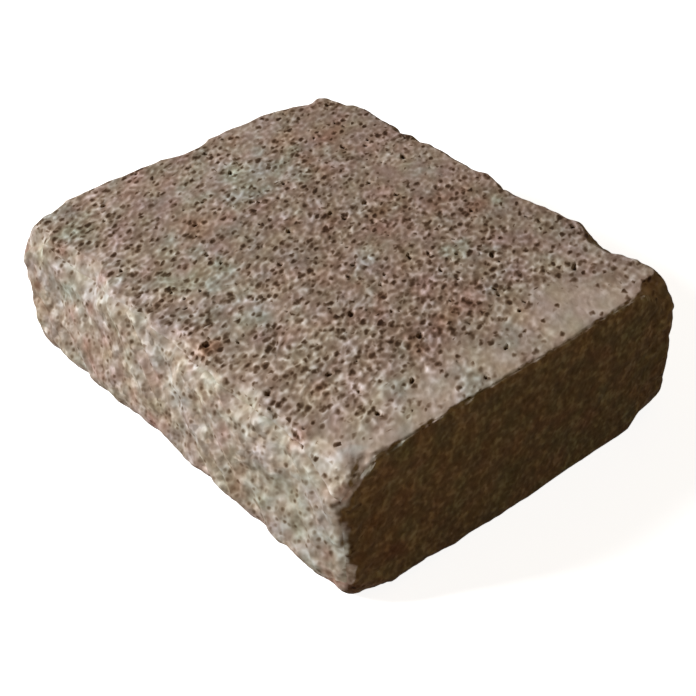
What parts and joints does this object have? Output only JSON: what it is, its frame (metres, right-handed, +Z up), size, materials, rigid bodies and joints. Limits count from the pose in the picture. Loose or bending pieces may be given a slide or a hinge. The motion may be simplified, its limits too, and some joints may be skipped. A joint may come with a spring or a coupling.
{
  "type": "concrete wall block",
  "caption": "Solid tumbled concrete wall block with flat beds, split long faces, cast ends and worn, chipped arrises.",
  "frame": {"origin": "middle of the block's footprint, on the lower bed", "axes": "+X along the length between the cast ends, +Y from the front split face to the back split face, +Z up from the lower bed to the upper bed"},
  "size_m": [0.2998, 0.2352, 0.09],
  "materials": {
    "concrete": "matt, pitted dry-cast concrete in warm grey with rust and pink aggregate"
  },
  "bodies": {
    "root": {"block": "concrete"}
  },
  "joints": []
}
